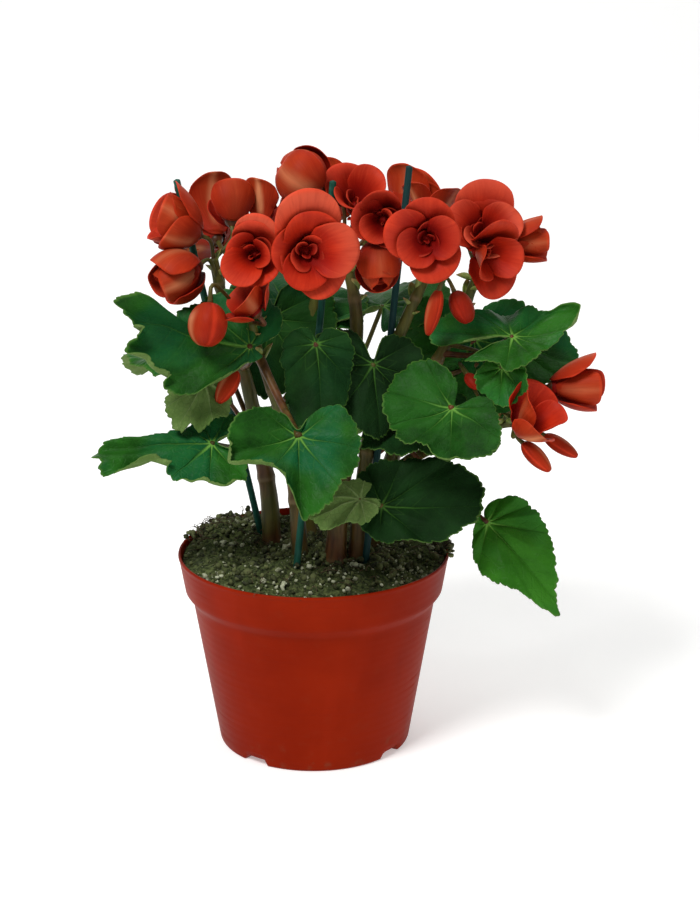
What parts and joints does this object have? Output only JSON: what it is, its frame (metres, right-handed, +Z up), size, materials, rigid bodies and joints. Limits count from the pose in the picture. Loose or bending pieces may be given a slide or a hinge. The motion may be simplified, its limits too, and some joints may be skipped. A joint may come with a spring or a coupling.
{
  "type": "potted begonia",
  "caption": "Flowering begonia in a round tapered plastic nursery pot, with lobed green leaves, double orange-red flowers and buds, and three plant stakes.",
  "frame": {"origin": "centre of the pot's flat base, on the ground", "axes": "+Z up along the pot's axis; -Y towards the front of the plant, the side with the two widest open flowers; +X to its right"},
  "size_m": [0.2896, 0.2228, 0.3542],
  "materials": {
    "pot": "satin terracotta-red nursery plastic",
    "soil": "moist peat mix with white perlite grains",
    "stake": "green-stained round stick",
    "stem": "juicy olive to red-brown stem, slightly glossy",
    "leaf": "glossy upper side with pale veins, matt paler underside",
    "petal": "soft satin orange-red petal, darker towards the heart"
  },
  "bodies": {
    "root": {"pot": "pot", "soil": "soil", "stake_left": "stake", "stake_centre": "stake", "stake_right": "stake", "stem_left": "stem", "stem_front": "stem", "stem_centre": "stem", "stem_mid_right": "stem", "stem_right": "stem", "stem_back": "stem", "side_shoot": "stem", "leaf_front": "leaf", "leaf_front_right": "leaf", "leaf_left": "leaf", "leaf_upper_left": "leaf", "leaf_hanging_right": "leaf", "leaf_low_right": "leaf", "leaf_turned": "leaf", "leaf_upper_right": "leaf", "leaf_right_drape": "leaf", "leaf_right_back": "leaf", "leaf_centre": "leaf", "leaf_centre_right": "leaf", "leaf_left_under": "leaf", "leaf_middle": "leaf", "leaf_inner": "leaf", "leaf_back_left": "leaf", "leaf_back": "leaf", "leaf_back_right": "leaf", "leaf_back_low": "leaf", "leaf_back_low_right": "leaf", "flower_front": "petal", "flower_front_right": "petal", "flower_front_left": "petal", "flower_left": "petal", "flower_left_low": "petal", "flower_left_top": "petal", "flower_top_pale": "petal", "flower_top_ball": "petal", "flower_top": "petal", "flower_cup": "petal", "flower_under": "petal", "flower_right_top": "petal", "flower_right_front": "petal", "flower_right": "petal", "flower_behind_right": "petal", "flower_back": "petal", "flower_back_left": "petal", "flower_back_right": "petal", "flower_side": "petal", "flower_side_back": "petal", "flower_opening": "petal", "bud_left": "petal", "bud_hanging_left": "petal", "bud_hanging_right": "petal", "bud_side_low": "petal", "bud_side_tip": "petal", "bud_low_left": "petal", "bud_low_right": "petal"}
  },
  "joints": []
}
